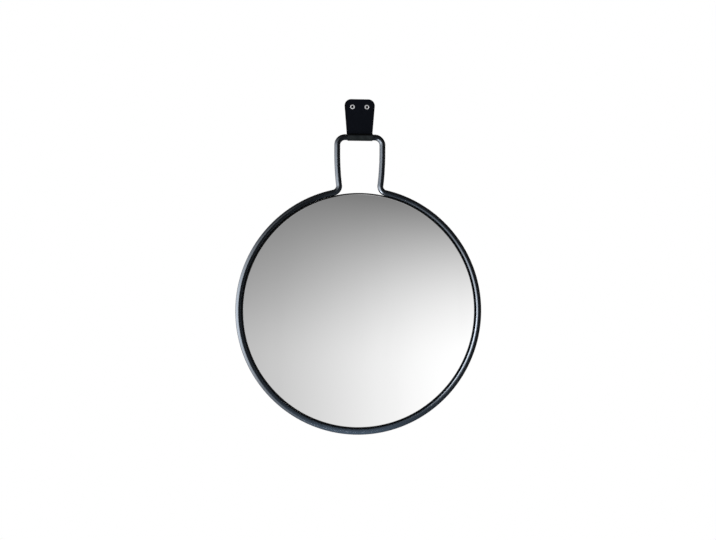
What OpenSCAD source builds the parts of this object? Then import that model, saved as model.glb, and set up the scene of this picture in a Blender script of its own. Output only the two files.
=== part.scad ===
// Round wall mirror in a bent steel rod frame, hung by its neck from a folded leather strap.
// Millimetres. Wall plane at Y = 0, viewer on the -Y side, Z up.
// The origin is the midpoint between the two eyelet holes, on the wall plane.

/* [Rod frame] */
// Outside diameter of the ring
ring_od = 450; // [380:5:520]
// Diameter of the round steel rod
rod_d = 11; // [9:0.5:13]
// Angle from the top of the ring to where each foot bend leaves it, in degrees
foot_angle = 12.5; // [11.5:0.1:16]
// Angle by which the legs lean in where they meet the foot bends, in degrees
leg_lean = 6.8; // [4:0.1:8]
// Centreline radius of the bends from crossbar to legs
top_bend_r = 14; // [12:0.5:17]
// Straight length of each leg below its top bend
leg_run = 13.8; // [5:0.2:25]
// Radius at which the legs draw in towards the ring
leg_curve_r = 500; // [400:10:900]
// Centreline radius of the bends from legs to ring
foot_bend_r = 12.5; // [10:0.5:16]

/* [Mirror and board] */
// Thickness of the mirror glass
glass_t = 3; // [2:0.5:4]
// Width of the polished bevel round the front of the glass
bevel = 1; // [0.5:0.1:1.2]
// Width of the bevel round the back of the glass
back_bevel = 0.3; // [0.2:0.1:0.5]
// Radial gap between the glass and the rod
glass_gap = 2.5; // [1:0.5:6]
// Thickness of the backing board
board_t = 5; // [4:0.5:7]
// Radial clearance between the board and the rod
board_gap = 0.1; // [0.1:0.1:1]
// Thickness of the foam mounting tape
tape_t = 1; // [0.5:0.1:1.5]
// Width of each strip of tape
tape_w = 19; // [12:1:25]
// Distance from the edge of the glass in to the inner strips
tape_inner_in = 156.5; // [142:0.5:172]
// Distance from the edge of the glass in to the outer strips
tape_outer_in = 61.5; // [52:0.5:100]
// Least distance from the ends of a strip to the edge of the glass
tape_margin = 12; // [5:1:25]

/* [Tabs, screws and bumpers] */
// Thickness of the welded steel tabs
tab_t = 1.5; // [1:0.1:2]
// Width of a tab, which is also the round of its inner end
tab_w = 20; // [16:1:26]
// Distance from the ring's inner edge to the screw's axis
tab_reach = 11; // [10:0.5:16]
// Depth of the tabs' backs in front of the rod's back
tab_inset = 0.1; // [0:0.1:0.5]
// Height of the upper tabs' direction above the horizontal, in degrees
upper_tab_angle = 42; // [25:1:55]
// Depth of the lower tabs' direction below the horizontal, in degrees
lower_tab_angle = 45; // [25:1:50]
// Diameter of the screws
screw_d = 3.5; // [3:0.5:4]
// Clearance round a screw in its tab, on the diameter
screw_clearance = 0.5; // [0.3:0.1:1]
// Diameter of the screws' low heads
screw_head_d = 7.5; // [6.5:0.5:9]
// Height of the screws' domed heads
screw_head_h = 1; // [0.8:0.1:1.1]
// Board left in front of a screw's tip
screw_cover = 1; // [0.5:0.1:2]
// Diameter of the wall bumpers
bumper_d = 16; // [12:1:20]
// Radius of the rounded rim of a bumper, on its wall side
bumper_rim = 1.2; // [0.6:0.1:1.6]
// Distance from the mirror's middle to a bumper, across
bumper_x = 62; // [40:1:90]
// Distance from the ring's inner edge, at the bottom, up to a bumper
bumper_up = 34; // [28:1:60]

/* [Leather strap] */
// Thickness of the leather
leather_t = 1; // [1:0.1:2]
// Radial clearance of the crossbar in the strap's loop
loop_gap = 0.08; // [0.04:0.02:0.1]
// Free sideways play of the strap on the straight of the crossbar, each side
side_play = 4.25; // [2:0.25:8]
// How much wider the strap is at the eyelets than at the crossbar, each side
flare = 4.5; // [0:0.5:7]
// Distance from the crossbar's axis up to the eyelets
strap_drop = 55.5; // [45:0.5:75]
// Leather above the eyelets' centres
strap_head = 14.2; // [12.5:0.1:18]
// Radius of the strap's top corners
corner_r = 12; // [8:0.5:14]
// Radius of the crease where the front layer turns up over the crossbar
crease_r = 0.3; // [0.2:0.1:1.2]
// Depth to which the crease is pressed into the loop
crease_bite = 0.05; // [0.02:0.01:0.1]
// Gap between the layers at which the glue begins, above the crossbar
glue_gap = 0.1; // [0.05:0.05:0.3]

/* [Eyelets] */
// Distance between the eyelets' centres
eyelet_pitch = 26.5; // [22:0.5:30]
// Bore of an eyelet, for the wall screw
eyelet_bore = 4.5; // [4:0.1:5]
// Wall of an eyelet's barrel
eyelet_wall = 0.4; // [0.3:0.1:0.6]
// Outside diameter of the domed front flange
flange_d = 8.5; // [8:0.5:11]
// Height of the domed front flange
flange_h = 0.7; // [0.5:0.1:1.1]
// Clearance round a barrel in the leather and in the washer, radial
barrel_gap = 0.05; // [0.02:0.01:0.1]
// Thickness of the back washers
washer_t = 0.4; // [0.3:0.1:0.5]
// Width of the rolled lip that holds a washer
lip_w = 1.35; // [1:0.05:1.6]
// Height of the rolled lip
lip_h = 0.35; // [0.25:0.05:0.4]
// Depth of the rolled lip in front of the wall plane
lip_sink = 0.05; // [0:0.05:0.1]
// Clearance round a washer in its recess, radial
recess_gap = 0.1; // [0.05:0.05:0.3]

/* [Hidden] */
$fa = 3;
$fs = 0.6;
// Overlap of a cutting solid past the surface that it cuts
cut = 1;

// Plan positions, across and up, with the ring's centre as their zero
rod_r = rod_d / 2;
ring_r = ring_od / 2 - rod_r;
ring_inner_r = ring_r - rod_r;
foot_ring_a = 90 - foot_angle;
foot_c = (ring_r + foot_bend_r) * [cos(foot_ring_a), sin(foot_ring_a)];
leg_curve_c = foot_c + (leg_curve_r + foot_bend_r) * [-cos(leg_lean), sin(leg_lean)];
leg_x = leg_curve_c.x + leg_curve_r;
leg_top_y = leg_curve_c.y + leg_run;
bar_y = leg_top_y + top_bend_r;
bar_half = leg_x - top_bend_r;
ring_centre_z = -strap_drop - bar_y;

// Levels, measured out from the wall
rod_out = leather_t + loop_gap + rod_r;
tab_back = rod_out - rod_r + tab_inset;
board_back = tab_back + tab_t;
board_front = board_back + board_t;
glass_back = board_front + tape_t;

// Sizes that follow from their neighbours
glass_r = ring_inner_r - glass_gap;
board_r = ring_inner_r - board_gap;
screw_len = tab_t + board_t - screw_cover;
screw_ring_r = ring_inner_r - tab_reach;
tape_inner_x = glass_r - tape_inner_in;
tape_outer_x = glass_r - tape_outer_in;
tab_angles = [180 - upper_tab_angle, upper_tab_angle, 180 + lower_tab_angle, -lower_tab_angle];

// The strap, with the crossbar's axis as the zero of its heights
loop_inner_r = rod_r + loop_gap;
loop_outer_r = loop_inner_r + leather_t;
strap_top = strap_drop + strap_head;
waist_half = bar_half - side_play;
flare_slope = flare / strap_drop;
side_normal = [1, -flare_slope] / norm([1, flare_slope]);
corner_y = strap_top - corner_r;
corner_x = waist_half + flare_slope * corner_y - corner_r * norm([1, flare_slope]);
crease_reach = loop_outer_r + crease_r - crease_bite;
crease_out = 2 * leather_t + crease_r;
crease_up = sqrt(pow(crease_reach, 2) - pow(rod_out - crease_out, 2));
turn_r = crease_r + leather_t;
glue_up = crease_up - sqrt(glue_gap * (2 * turn_r - glue_gap));
glue_out = rod_out - (rod_out - crease_out) * glue_up / crease_up;

// An eyelet's levels and radii
barrel_r = eyelet_bore / 2 + eyelet_wall;
flange_w = flange_d / 2 - eyelet_bore / 2;
washer_back = lip_sink + lip_h;
washer_front = washer_back + washer_t;

// Radius of the circle whose cap is w wide and h high
function cap_r(w, h) = (w * w / 4 + h * h) / (2 * h);

// Half the length of a tape strip whose outer side is x from the middle
function strip_half(x) = sqrt(pow(glass_r - tape_margin, 2) - x * x);

// Turns a flat drawing of the mirror into its place: X across, Y up, Z out from the wall
module on_wall(height) {
    translate([0, 0, height]) rotate([90, 0, 0]) children();
}

// The same, with the ring's centre as the zero of the drawing
module on_ring() {
    on_wall(ring_centre_z) children();
}

// Moves to p in ever finer steps, so that neighbouring runs of the rod meet to the last digit
module place(p, step = 1) {
    near = [for (v = p) floor(v / step) * step];
    if (step > 1e-6) translate(near) place(p - near, step * 1e-5) children();
    else translate(p) children();
}

// A bend of the rod about centre c, from angle start through the angle sweep
module rod_bend(c, r, start, sweep) {
    place([c.x, c.y, rod_out])
        rotate_extrude(angle = sweep, start = start) translate([r, 0]) circle(d = rod_d);
}

// The right half of the neck, from the ring up. The crossbar's halves overlap at the middle.
module neck_half() {
    rod_bend(foot_c, foot_bend_r, 180 - leg_lean, leg_lean + foot_ring_a);
    rod_bend(leg_curve_c, leg_curve_r, -leg_lean, leg_lean);
    place([leg_x, leg_curve_c.y, rod_out]) rotate([-90, 0, 0]) cylinder(d = rod_d, h = leg_run);
    rod_bend([bar_half, leg_top_y], top_bend_r, 0, 90);
    place([bar_half, bar_y, rod_out]) rotate([0, -90, 0]) cylinder(d = rod_d, h = ceil(bar_half));
}

module frame_rod() {
    color([0.1, 0.11, 0.12]) on_ring() {
        rod_bend([0, 0], ring_r, 180 - foot_ring_a, 180 + 2 * foot_ring_a);
        neck_half();
        mirror([1, 0, 0]) neck_half();
    }
}

// A lug with a round inner end, cut to lie against the rod that it is welded to
module frame_tab(angle) {
    color([0.16, 0.17, 0.18]) on_ring() rotate(angle) difference() {
        translate([0, 0, tab_back]) linear_extrude(tab_t) {
            translate([screw_ring_r, 0]) circle(d = tab_w);
            translate([screw_ring_r, -tab_w / 2]) square([ring_r - screw_ring_r, tab_w]);
        }
        translate([0, 0, rod_out]) rotate_extrude() translate([ring_r, 0]) circle(d = rod_d);
        translate([screw_ring_r, 0, tab_back - cut])
            cylinder(d = screw_d + screw_clearance, h = tab_t + 2 * cut);
    }
}

// A screw with a low domed head and a cross recess, driven from the back through a tab
module tab_screw() {
    recess_l = 0.56 * screw_head_d;
    recess_w = 0.13 * screw_head_d;
    recess_h = 0.65 * screw_head_h;
    dome_r = cap_r(screw_head_d, screw_head_h);
    difference() {
        union() {
            rotate_extrude() intersection() {
                translate([0, dome_r - screw_head_h]) circle(r = dome_r);
                translate([0, -screw_head_h]) square([screw_head_d, screw_head_h]);
            }
            cylinder(d = screw_d, h = screw_len);
        }
        for (turn = [0, 90]) {
            rotate(turn) translate([-recess_l / 2, -recess_w / 2, -screw_head_h - cut])
                cube([recess_l, recess_w, recess_h + cut]);
        }
    }
}

module tab_screws() {
    color([0.72, 0.73, 0.74]) on_ring() {
        for (angle = tab_angles) {
            rotate(angle) translate([screw_ring_r, 0, tab_back]) tab_screw();
        }
    }
}

module backing_board() {
    color([0.07, 0.07, 0.07]) on_ring() difference() {
        translate([0, 0, board_back]) cylinder(r = board_r, h = board_t, $fa = 2);
        for (angle = tab_angles) {
            rotate(angle) translate([screw_ring_r, 0, board_back - cut])
                cylinder(d = screw_d, h = cut + board_t - screw_cover);
        }
    }
}

// A vertical strip of double-sided tape between board and glass, centred x from the middle
module tape_strip(x) {
    half = strip_half(abs(x) + tape_w / 2);
    color([0.85, 0.85, 0.82]) on_ring()
        translate([x - tape_w / 2, -half, board_front]) cube([tape_w, 2 * half, tape_t]);
}

// Silvered glass with a polished bevel at the front
module mirror_glass() {
    color([0.75, 0.77, 0.78]) on_ring() translate([0, 0, glass_back]) {
        cylinder(r1 = glass_r - back_bevel, r2 = glass_r, h = back_bevel, $fa = 2);
        translate([0, 0, back_bevel])
            cylinder(r = glass_r, h = glass_t - back_bevel - bevel, $fa = 2);
        translate([0, 0, glass_t - bevel])
            cylinder(r1 = glass_r, r2 = glass_r - bevel, h = bevel, $fa = 2);
    }
}

// A stick-on rubber bumper between the board and the wall, round-rimmed on the wall side
module wall_bumper(side) {
    rim = bumper_d / 2 - bumper_rim;
    color([0.12, 0.12, 0.12]) on_ring()
        translate([side * bumper_x, bumper_up - ring_inner_r, 0]) rotate_extrude() {
            square([rim, board_back]);
            translate([0, bumper_rim]) square([bumper_d / 2, board_back - bumper_rim]);
            translate([rim, bumper_rim]) circle(r = bumper_rim);
        }
}

// Front view of the strap: slanted sides and two round top corners
module strap_outline() {
    touch = [corner_x, corner_y] + corner_r * side_normal;
    half = [[waist_half - flare_slope * loop_outer_r, -loop_outer_r - cut], touch,
        [corner_x, corner_y], [corner_x, strap_top]];
    polygon([each half, for (i = [len(half) - 1:-1:0]) [-half[i].x, half[i].y]]);
    for (side = [-1, 1]) {
        translate([side * corner_x, corner_y]) circle(r = corner_r);
    }
}

// Side view of the strap, out from the wall and up: two layers, and a loop round the crossbar
module strap_profile() {
    difference() {
        union() {
            square([2 * leather_t, strap_top]);
            translate([rod_out, 0]) circle(r = loop_outer_r);
            polygon([[2 * leather_t, 0], [rod_out, 0], [crease_out, crease_up],
                [2 * leather_t, crease_up]]);
        }
        translate([crease_out, crease_up]) circle(r = crease_r);
        translate([rod_out, 0]) circle(r = loop_inner_r);
        difference() {
            polygon([[leather_t, 0], [rod_out, 0], [glue_out, glue_up], [leather_t, glue_up]]);
            translate([crease_out, crease_up]) circle(r = turn_r);
        }
    }
}

module hanging_strap() {
    color([0.06, 0.07, 0.09]) on_wall(-strap_drop) difference() {
        intersection() {
            translate([0, 0, -cut]) linear_extrude(rod_out + loop_outer_r + 2 * cut) strap_outline();
            rotate([0, -90, 0]) linear_extrude(2 * (waist_half + flare) + 2 * cut, center = true)
                strap_profile();
        }
        for (side = [-1, 1]) {
            translate([side * eyelet_pitch / 2, strap_drop, -cut]) {
                cylinder(r = barrel_r + barrel_gap, h = 2 * (leather_t + cut));
                cylinder(d = flange_d + 2 * recess_gap, h = cut + washer_front);
            }
        }
    }
}

// A ring-shaped dome over the radii from the bore out to width w, rising h
module dome_profile(w, h) {
    intersection() {
        translate([eyelet_bore / 2 + w / 2, h - cap_r(w, h)]) circle(r = cap_r(w, h));
        translate([eyelet_bore / 2, 0]) square([w, h]);
    }
}

// Bright eyelet: a domed flange in front, a barrel through both layers and a rolled lip behind
module eyelet(side) {
    color([0.75, 0.76, 0.78]) on_wall(0) translate([side * eyelet_pitch / 2, 0, 0]) rotate_extrude() {
        translate([0, 2 * leather_t]) dome_profile(flange_w, flange_h);
        translate([eyelet_bore / 2, washer_back]) square([eyelet_wall, 2 * leather_t - washer_back]);
        translate([0, washer_back]) mirror([0, 1]) dome_profile(lip_w, lip_h);
    }
}

module eyelet_washer(side) {
    color([0.7, 0.71, 0.72]) on_wall(0)
        translate([side * eyelet_pitch / 2, 0, washer_back]) difference() {
            cylinder(d = flange_d, h = washer_t);
            translate([0, 0, -cut]) cylinder(r = barrel_r + barrel_gap, h = washer_t + 2 * cut);
        }
}

frame_rod();
frame_tab(tab_angles[0]);  // frame_tab_upper_left
frame_tab(tab_angles[1]);  // frame_tab_upper_right
frame_tab(tab_angles[2]);  // frame_tab_lower_left
frame_tab(tab_angles[3]);  // frame_tab_lower_right
tab_screws();
backing_board();
tape_strip(-tape_outer_x);  // tape_strip_outer_left
tape_strip(-tape_inner_x);  // tape_strip_inner_left
tape_strip(tape_inner_x);  // tape_strip_inner_right
tape_strip(tape_outer_x);  // tape_strip_outer_right
mirror_glass();
wall_bumper(-1);  // wall_bumper_left
wall_bumper(1);  // wall_bumper_right
hanging_strap();
eyelet(-1);  // eyelet_left
eyelet(1);  // eyelet_right
eyelet_washer(-1);  // eyelet_washer_left
eyelet_washer(1);  // eyelet_washer_right
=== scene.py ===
import math

import bmesh
import bpy
import numpy as np
from mathutils import Matrix, Vector


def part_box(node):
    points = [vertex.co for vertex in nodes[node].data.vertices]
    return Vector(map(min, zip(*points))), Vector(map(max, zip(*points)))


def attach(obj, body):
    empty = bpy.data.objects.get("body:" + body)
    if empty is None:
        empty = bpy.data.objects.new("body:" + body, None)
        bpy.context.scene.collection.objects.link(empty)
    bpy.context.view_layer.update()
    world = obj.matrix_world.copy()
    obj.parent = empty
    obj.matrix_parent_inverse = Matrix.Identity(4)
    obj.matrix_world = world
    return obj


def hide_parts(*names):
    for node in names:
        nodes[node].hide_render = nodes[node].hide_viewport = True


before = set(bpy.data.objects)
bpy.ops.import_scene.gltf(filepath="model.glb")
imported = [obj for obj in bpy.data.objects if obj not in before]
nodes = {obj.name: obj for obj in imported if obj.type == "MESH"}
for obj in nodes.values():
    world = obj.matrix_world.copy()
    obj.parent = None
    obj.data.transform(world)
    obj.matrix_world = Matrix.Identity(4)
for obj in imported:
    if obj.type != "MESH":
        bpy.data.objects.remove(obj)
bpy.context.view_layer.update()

mm = 0.001
print("frame loaded:", len(nodes), "nodes")

# All sizes are real ones, in millimetres. "out" is the distance from the wall towards the viewer.
# The rod's path is a chain of tangent bends and straights in one plane.
rodFrame = {
    "ringOutside": 450, "rod": 11, "footAngle": 12.5, "legLean": 6.8, "footBend": 12.5,
    "legCurve": 500, "legRun": 13.8, "topBend": 14, "bendStep": 0.8, "ringStep": 2.4, "sides": 56,
}
rodLow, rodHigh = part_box("frame_rod")
rodR = rodFrame["rod"] / 2
ringR = rodFrame["ringOutside"] / 2 - rodR
rodOut = -(rodLow.y + rodHigh.y) / 2 / mm
barZ = rodHigh.z / mm - rodR


# Points along an arc and the unit normals to the right of the way: centre + r (cos a, sin a).
def arcRun(centre, r, start, sweep, step):
    count = max(2, math.ceil(math.radians(abs(sweep)) * r / step))
    angle = np.radians(start + sweep * np.arange(count) / count)
    radial = np.stack([np.cos(angle), np.sin(angle)], axis=-1)
    return np.asarray(centre) + r * radial, radial * math.copysign(1, sweep)


def straightRun(start, end, step):
    start, end = np.asarray(start, float), np.asarray(end, float)
    length = np.linalg.norm(end - start)
    share = np.arange(math.ceil(length / step)) / math.ceil(length / step)
    along = (end - start) / length
    points = start + share[:, None] * (end - start)
    return points, np.tile([along[1], -along[0]], (len(share), 1))


# The right half from the ring's bottom to the crossbar's middle, in (across, up) from the ring's centre,
# then the same mirrored and walked back, so the two halves close the path.
def rodPath(size):
    topA = 90 - size["footAngle"]
    start, lean = math.radians(topA), math.radians(size["legLean"])
    footC = (ringR + size["footBend"]) * np.array([math.cos(start), math.sin(start)])
    legC = footC + (size["legCurve"] + size["footBend"]) * np.array([-math.cos(lean), math.sin(lean)])
    legX = legC[0] + size["legCurve"]
    topY = legC[1] + size["legRun"]
    barHalf = legX - size["topBend"]
    barY = topY + size["topBend"]
    step, wide = size["bendStep"], size["ringStep"]
    runs = [
        arcRun((0, 0), ringR, -90, 90 + topA, wide),
        arcRun(footC, size["footBend"], 180 + topA, -(topA + size["legLean"]), step),
        arcRun(legC, size["legCurve"], -size["legLean"], size["legLean"], wide),
        straightRun((legX, legC[1]), (legX, topY), wide),
        arcRun((barHalf, topY), size["topBend"], 0, 90, step),
        straightRun((barHalf, barY), (0, barY), wide),
    ]
    points = np.vstack([r[0] for r in runs] + [[[0, barY]]])
    normals = np.vstack([r[1] for r in runs] + [[[0, 1]]])
    flip = np.array([-1, 1])
    points = np.vstack([points, (points * flip)[-2:0:-1]])
    normals = np.vstack([normals, (normals * flip)[-2:0:-1]])
    return points, normals, barHalf


rodLine, rodAcross, barHalf = rodPath(rodFrame)
ringZ = barZ - rodLine[:, 1].max()


# Mesh helpers

def circle(count):
    return np.linspace(0, 2 * math.pi, count, endpoint=False)


# Points from three measures, each a number, a row, a column or a whole grid.
def placed(x, out, z):
    return np.stack(np.broadcast_arrays(x, -out, z), axis=-1)


def newObject(name, data):
    piece = bpy.data.objects.new(name, data)
    bpy.context.scene.collection.objects.link(piece)
    return piece


# A skin over rows of points: rings is rows x points x 3 in millimetres, each row a closed ring.
# loop joins the last row to the first. A pole is a point that closes the skin at its first or last row.
def skin(name, rings, loop=False, firstPole=None, lastPole=None):
    rows, count = rings.shape[:2]
    points = rings.reshape(-1, 3)
    index = np.arange(rows * count).reshape(rows, count)
    index = np.vstack([index, index[:1]]) if loop else index
    after = np.roll(index, -1, axis=1)
    faces = np.stack([index[:-1], after[:-1], after[1:], index[1:]], axis=-1).reshape(-1, 4).tolist()
    for pole, row, turn in ((firstPole, 0, -1), (lastPole, rows - 1, 1)):
        if pole is not None:
            points = np.vstack([points, [pole]])
            tip = np.full(count, len(points) - 1)
            faces += np.stack([index[row], after[row], tip][::turn], axis=-1).tolist()
    return meshObject(name, points, faces)


def meshObject(name, points, faces):
    mesh = bpy.data.meshes.new(name)
    mesh.from_pydata((np.asarray(points) * mm).tolist(), [], faces)
    mesh.update()
    return newObject(name, mesh)


def smooth(piece, upTo):
    piece.data.shade_smooth()
    piece.data.set_sharp_from_angle(angle=math.radians(upTo))
    return piece


# Merges what coincides, points every face outwards and shades smooth up to the angle.
def closeUp(piece, smoothAngle):
    merge = 1e-6
    work = bmesh.new()
    work.from_mesh(piece.data)
    bmesh.ops.remove_doubles(work, verts=work.verts, dist=merge)
    bmesh.ops.dissolve_degenerate(work, edges=work.edges, dist=merge / 10)
    bmesh.ops.recalc_face_normals(work, faces=work.faces)
    if work.calc_volume(signed=True) < 0:
        bmesh.ops.reverse_faces(work, faces=work.faces)
    work.to_mesh(piece.data)
    work.free()
    return smooth(piece, smoothAngle)


# A turned piece about an axis square to the wall: profile is (radius, out) pairs, centre is (x, z).
# A profile that starts or ends on the axis gets a pole there; one that doesn't is a closed ring.
def turned(name, profile, centre, segments):
    profile = np.asarray(profile, float)
    onAxis = profile[:, 0] < 1e-9
    body = profile[~onAxis]
    r, out, angle = body[:, 0:1], body[:, 1:2], circle(segments)
    rings = placed(centre[0] + r * np.cos(angle), out, centre[1] + r * np.sin(angle))
    poles = [[centre[0], -p[1], centre[1]] for p in profile[onAxis]]
    first = poles[0] if onAxis[0] else None
    last = poles[-1] if onAxis[-1] else None
    return skin(name, rings, loop=first is None and last is None, firstPole=first, lastPole=last)


# Points along a round from one direction to another: centre + r (cos a, sin a).
def roundOff(centre, r, start, end, count=7):
    angle = np.radians(np.linspace(start, end, count))
    return np.stack([centre[0] + r * np.cos(angle), centre[1] + r * np.sin(angle)], axis=-1)


def finishPiece(piece, body, materials, replaced=()):
    for material in materials:
        piece.data.materials.append(material)
    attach(piece, body)
    if replaced:
        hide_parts(*replaced)
    return piece


# Gives a node of the CAD's own another material.
def repaint(name, material):
    nodes[name].data.materials.clear()
    nodes[name].data.materials.append(material)


def joined(name, parts):
    work = bmesh.new()
    for part in parts:
        work.from_mesh(part.data)
    mesh = bpy.data.meshes.new(name)
    work.to_mesh(mesh)
    work.free()
    for part in parts:
        bpy.data.objects.remove(part)
    return newObject(name, mesh)


# Material helpers

def newMaterial(name):
    material = bpy.data.materials.new(name)
    material.use_nodes = True
    tree = material.node_tree
    return material, tree, tree.nodes["Principled BSDF"]


# Sets inputs, by name or number: another node's output is joined, a plain value is stored.
def feed(tree, node, inputs):
    for label, value in inputs.items():
        socket = node.inputs[label]
        if isinstance(value, bpy.types.NodeSocket):
            tree.links.new(value, socket)
        else:
            socket.default_value = (*value, 1) if socket.type == "RGBA" else value


def addNode(tree, kind, inputs=None, **settings):
    node = tree.nodes.new(kind)
    for setting, value in settings.items():
        setattr(node, setting, value)
    feed(tree, node, inputs or {})
    return node


def objectCoordinates(tree):
    return addNode(tree, "ShaderNodeTexCoord").outputs["Object"]


# Coordinates squeezed in height, then turned about the axis square to the wall: patterns run one way there.
def oneWay(tree, place, squeeze, turn):
    inputs = {"Vector": place, "Scale": (1, 1, squeeze), "Rotation": (0, turn, 0)}
    return addNode(tree, "ShaderNodeMapping", inputs).outputs["Vector"]


def noise(tree, place, scale, detail, roughness=0.5):
    inputs = {"Vector": place, "Scale": scale, "Detail": detail, "Roughness": roughness}
    return addNode(tree, "ShaderNodeTexNoise", inputs).outputs["Fac"]


# Distance to the nearest of many scattered points. A smoothness rounds the borders between the cells.
def cells(tree, place, scale, smoothness=None):
    node = addNode(tree, "ShaderNodeTexVoronoi", {"Vector": place, "Scale": scale})
    if smoothness is not None:
        node.feature = "SMOOTH_F1"
        feed(tree, node, {"Smoothness": smoothness})
    return node.outputs["Distance"]


# A value that the piece's own mesh carries.
def pieceValue(tree, label):
    return addNode(tree, "ShaderNodeAttribute", attribute_name=label).outputs["Fac"]


def ramp(tree, value, low, high, outLow=0.0, outHigh=1.0, smooth=True):
    inputs = {"Value": value, "From Min": low, "From Max": high, "To Min": outLow, "To Max": outHigh}
    kind = "SMOOTHSTEP" if smooth else "LINEAR"
    return addNode(tree, "ShaderNodeMapRange", inputs, interpolation_type=kind).outputs["Result"]


def calc(tree, operation, *values):
    return addNode(tree, "ShaderNodeMath", dict(enumerate(values)), operation=operation).outputs[0]


def product(tree, first, *others):
    for value in others:
        first = calc(tree, "MULTIPLY", first, value)
    return first


# The colour sockets of a Mix node are its inputs 6 and 7 and its output 2.
def mixColour(tree, share, first, second):
    return addNode(tree, "ShaderNodeMix", {0: share, 6: first, 7: second}, data_type="RGBA").outputs[2]


def bump(tree, height, strength, distance):
    inputs = {"Height": height, "Strength": strength, "Distance": distance}
    return addNode(tree, "ShaderNodeBump", inputs).outputs["Normal"]


def groupTree(name, inputs, outputs):
    tree = bpy.data.node_groups.new(name, "ShaderNodeTree")
    for label, default in inputs.items():
        socket = tree.interface.new_socket(label, in_out="INPUT", socket_type="NodeSocketFloat")
        socket.default_value = default
    for label in outputs:
        tree.interface.new_socket(label, in_out="OUTPUT", socket_type="NodeSocketFloat")
    return tree, tree.nodes.new("NodeGroupInput"), tree.nodes.new("NodeGroupOutput")


# The skin of powder coat: rounded orange peel over slow waves, and a patchy gloss.
def makeCoatGroup():
    tree, given, made = groupTree("powderCoat", {"Peel Scale": 900, "Wave": 0.3}, ("Height", "Patch"))
    place = objectCoordinates(tree)
    peel = cells(tree, place, given.outputs["Peel Scale"], 1.0)
    height = calc(tree, "MULTIPLY_ADD", noise(tree, place, 120, 2), given.outputs["Wave"], peel)
    feed(tree, made, {"Height": height, "Patch": noise(tree, place, 35, 4)})
    return tree


# Fine dust: soft specks that gather in patches.
def makeDustGroup():
    tree, given, made = groupTree("fineDust", {"Speck Scale": 1400, "Cover": 0.5}, ("Mask",))
    place = objectCoordinates(tree)
    dots = ramp(tree, noise(tree, place, given.outputs["Speck Scale"], 2), 0.62, 0.72)
    patches = ramp(tree, noise(tree, place, 22, 4), 0.4, 0.75)
    feed(tree, made, {"Mask": product(tree, dots, patches, given.outputs["Cover"])})
    return tree


coatGroup = makeCoatGroup()
dustGroup = makeDustGroup()


# A tone with dust over it, and the dust's mask.
def dusted(tree, tone, look):
    inputs = {"Speck Scale": look["speckScale"], "Cover": look["dustCover"]}
    mask = addNode(tree, "ShaderNodeGroup", inputs, node_tree=dustGroup).outputs["Mask"]
    return mixColour(tree, mask, tone, look["dust"]), mask


# What most finishes share. Each has a function for the patterns that its tone, roughness and relief follow.
# The tone runs between the look's two, and the relief has a strength and a depth in metres.
def makeFinish(name, look, patterns):
    material, tree, shader = newMaterial(name)
    toneBy, roughBy, reliefBy = patterns(tree, objectCoordinates(tree))
    tone = mixColour(tree, toneBy, *look["tones"])
    if "dust" in look:
        tone = dusted(tree, tone, look)[0]
    rough = ramp(tree, roughBy, *look.get("roughSpan", (0.3, 0.7)), *look["rough"])
    feed(tree, shader, {"Base Color": tone, "Roughness": rough, "Metallic": look.get("metal", 0)})
    if reliefBy is not None:
        feed(tree, shader, {"Normal": bump(tree, reliefBy, *look["relief"])})
    return material


paint = {
    "wave": 0.35, "relief": 0.4, "ior": 1.55, "dust": (0.16, 0.16, 0.15), "speckScale": 1500,
    "dustCover": 0.08,
}


# Black powder coat, a little paler and duller in patches.
def makePaint(name, colour, gloss, peelScale, depth):
    material, tree, shader = newMaterial(name)
    inputs = {"Peel Scale": peelScale, "Wave": paint["wave"]}
    coat = addNode(tree, "ShaderNodeGroup", inputs, node_tree=coatGroup)
    patch = coat.outputs["Patch"]
    paler = tuple(c * 1.3 + 0.001 for c in colour)
    tone, mask = dusted(tree, mixColour(tree, patch, colour, paler), paint)
    patchy = ramp(tree, patch, 0.3, 0.7, gloss - 0.03, gloss + 0.05)
    rough = calc(tree, "MULTIPLY_ADD", mask, 0.3, patchy)
    normal = bump(tree, coat.outputs["Height"], paint["relief"], depth)
    feed(tree, shader, {"Base Color": tone, "Roughness": rough, "IOR": paint["ior"], "Normal": normal})
    return material


nickelLook = {
    "tones": ((0.74, 0.75, 0.77), (0.90, 0.90, 0.91)), "rough": (0.24, 0.34), "roughSpan": (0.3, 0.75),
    "relief": (0.15, 0.00002), "metal": 1,
}


# Nickel plate: bright but clouded, with very fine scratches.
def nickelPatterns(tree, place):
    cloud = noise(tree, place, 260, 4)
    return cloud, cloud, noise(tree, place, 2600, 2)


zincLook = {
    "tones": ((0.66, 0.67, 0.69), (0.48, 0.49, 0.52)), "rough": (0.28, 0.46), "relief": (0.2, 0.00002),
    "metal": 1,
}


# Zinc plate: a cool grey metal whose crystals show as faint patches.
def zincPatterns(tree, place):
    spangle = ramp(tree, cells(tree, place, 1600), 0.0, 0.8)
    return spangle, noise(tree, place, 500, 3), spangle


boardLook = {
    "tones": ((0.012, 0.012, 0.013), (0.030, 0.029, 0.028)), "rough": (0.55, 0.75),
    "relief": (0.35, 0.00008), "dust": (0.2, 0.19, 0.18), "speckScale": 900, "dustCover": 0.6,
}


# Black painted fibreboard: short felted fibres under the paint, and a little dust.
def boardPatterns(tree, place):
    fibre = noise(tree, oneWay(tree, place, 0.35, 0.5), 900, 5, 0.65)
    return noise(tree, place, 60, 4), fibre, fibre


foamLook = {"tones": ((0.55, 0.54, 0.5), (0.8, 0.79, 0.75)), "rough": 0.9, "relief": (0.6, 0.0001)}


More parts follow.
